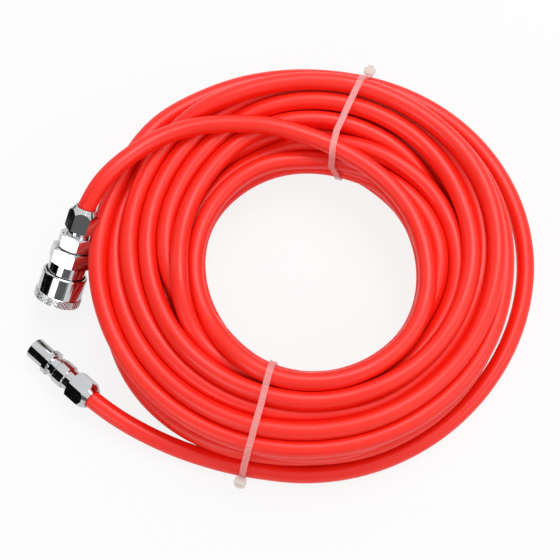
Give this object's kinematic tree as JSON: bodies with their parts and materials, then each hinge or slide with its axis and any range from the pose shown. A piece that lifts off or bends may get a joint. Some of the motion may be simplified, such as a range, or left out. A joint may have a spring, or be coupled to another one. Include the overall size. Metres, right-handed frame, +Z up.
{
  "type": "coiled air hose",
  "caption": "Polyurethane air hose wound into a flat coil held by nylon ties, with a quick-connect socket on one end and a plug on the other.",
  "frame": {"origin": "on the coil's axis, at the surface that it lies on", "axes": "+Z up along the coil axis, +X across the coil away from the couplings, +Y towards the socket tail"},
  "size_m": [0.2229, 0.1965, 0.0428],
  "materials": {
    "hose_pu": "satin, slightly translucent polyurethane",
    "tie_nylon": "natural translucent nylon",
    "chrome_plate": "polished chrome plate on steel",
    "knurled_chrome": "chrome plate, knurled grip",
    "spring_steel": "drawn wire",
    "ball_steel": "polished hardened steel",
    "valve_brass": "turned brass",
    "seal_rubber": "matte nitrile rubber"
  },
  "bodies": {
    "hose": {"hose_coil": "hose_pu", "hose_tail_socket": "hose_pu", "hose_tail_plug": "hose_pu", "hose_end_socket": "hose_pu", "hose_end_plug": "hose_pu", "tie_upper": "tie_nylon", "tie_lower": "tie_nylon", "plug_body": "chrome_plate", "socket_barrel": "chrome_plate", "socket_adapter": "chrome_plate", "sleeve_spring": "spring_steel", "snap_ring": "spring_steel", "valve_spring": "spring_steel", "plug_seal": "seal_rubber", "adapter_gasket": "seal_rubber"},
    "sleeve": {"socket_sleeve": "knurled_chrome"},
    "valve": {"valve_poppet": "valve_brass", "valve_seal": "seal_rubber"},
    "socket_nut": {"socket_nut": "chrome_plate"},
    "plug_nut": {"plug_nut": "chrome_plate"},
    "ball_1": {"ball_1": "ball_steel"},
    "ball_2": {"ball_2": "ball_steel"},
    "ball_3": {"ball_3": "ball_steel"},
    "ball_4": {"ball_4": "ball_steel"},
    "ball_5": {"ball_5": "ball_steel"},
    "ball_6": {"ball_6": "ball_steel"}
  },
  "joints": [
    {"name": "sleeve_slide", "type": "slide", "parent": "hose", "child": "sleeve", "axis": [0.3387, 0.7607, 0.5538], "range_m": [0, 0.0035], "stiffness_N_per_m": 1500, "springref_m": -0.003, "deforming": ["sleeve_spring"]},
    {"name": "valve_slide", "type": "slide", "parent": "hose", "child": "valve", "axis": [0.3387, 0.7607, 0.5538], "range_m": [0, 0.0035], "stiffness_N_per_m": 600, "springref_m": -0.004, "deforming": ["valve_spring"]},
    {"name": "socket_nut_turn", "type": "hinge", "parent": "hose", "child": "socket_nut", "pos_m": [-0.10007, 0.02013, 0.03074], "axis": [0.3387, 0.7607, 0.5538], "continuous": true},
    {"name": "plug_nut_turn", "type": "hinge", "parent": "hose", "child": "plug_nut", "pos_m": [-0.10112, -0.0513, 0.0082], "axis": [0.742, -0.6611, 0.1115], "continuous": true},
    {"name": "ball_1_slide", "type": "slide", "parent": "hose", "child": "ball_1", "axis": [0.2252, 0.5059, -0.8327], "range_m": [0, 0.0009]},
    {"name": "ball_2_slide", "type": "slide", "parent": "hose", "child": "ball_2", "axis": [-0.6785, 0.6052, -0.4163], "range_m": [0, 0.0009]},
    {"name": "ball_3_slide", "type": "slide", "parent": "hose", "child": "ball_3", "axis": [-0.9038, 0.0993, 0.4163], "range_m": [0, 0.0009]},
    {"name": "ball_4_slide", "type": "slide", "parent": "hose", "child": "ball_4", "axis": [-0.2252, -0.5059, 0.8327], "range_m": [0, 0.0009]},
    {"name": "ball_5_slide", "type": "slide", "parent": "hose", "child": "ball_5", "axis": [0.6785, -0.6052, 0.4163], "range_m": [0, 0.0009]},
    {"name": "ball_6_slide", "type": "slide", "parent": "hose", "child": "ball_6", "axis": [0.9038, -0.0993, -0.4163], "range_m": [0, 0.0009]}
  ],
  "couplings": [
    {"joint": "ball_1_slide", "follows": "sleeve_slide", "ratio": 0.25},
    {"joint": "ball_2_slide", "follows": "sleeve_slide", "ratio": 0.25},
    {"joint": "ball_3_slide", "follows": "sleeve_slide", "ratio": 0.25},
    {"joint": "ball_4_slide", "follows": "sleeve_slide", "ratio": 0.25},
    {"joint": "ball_5_slide", "follows": "sleeve_slide", "ratio": 0.25},
    {"joint": "ball_6_slide", "follows": "sleeve_slide", "ratio": 0.25}
  ]
}
